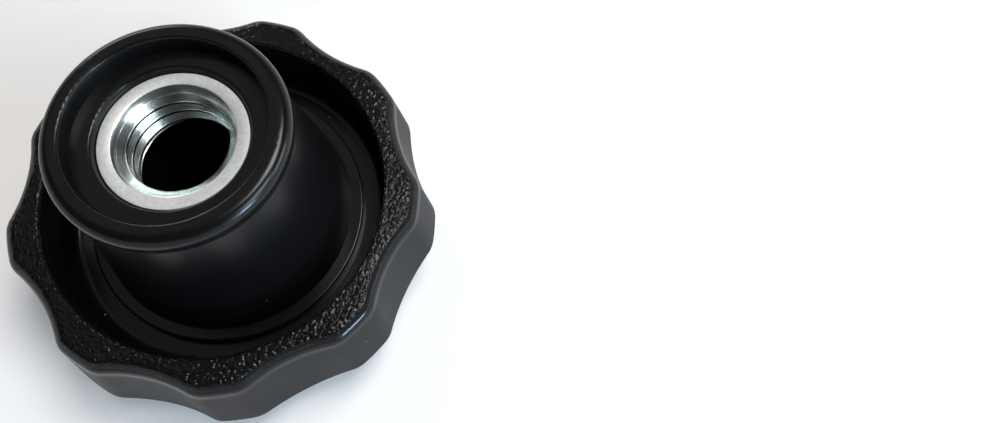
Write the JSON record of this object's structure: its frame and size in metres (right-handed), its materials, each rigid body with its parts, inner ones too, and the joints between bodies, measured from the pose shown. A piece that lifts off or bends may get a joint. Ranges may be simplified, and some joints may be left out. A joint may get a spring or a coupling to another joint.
{
  "type": "lobed hand knob",
  "caption": "Round hand knob with a scalloped grip, a domed crown closed by a flat cap, a hollow behind the rim, and a tall flared hub with a flanged end and a threaded steel bush.",
  "frame": {"origin": "centre of the crown's flat ring, which is the lowest face, on the knob's axis; the odd number of lobes puts the bounding box's middle 0.4 mm from it along +X", "axes": "+Z along the knob's axis, from the crown up through the hub and out of the threaded mouth; +X through the top of one lobe"},
  "size_m": [0.049, 0.0496, 0.0326],
  "materials": {
    "body_plastic": "black moulded plastic, satin on the grip and the hub, fine leather grain on the crown and the rim face",
    "zinc_steel": "bright zinc plating on turned steel",
    "cap_plastic": "black moulded plastic, satin"
  },
  "bodies": {
    "root": {"knob_body": "body_plastic", "threaded_insert": "zinc_steel", "crown_cap": "cap_plastic"}
  },
  "joints": []
}
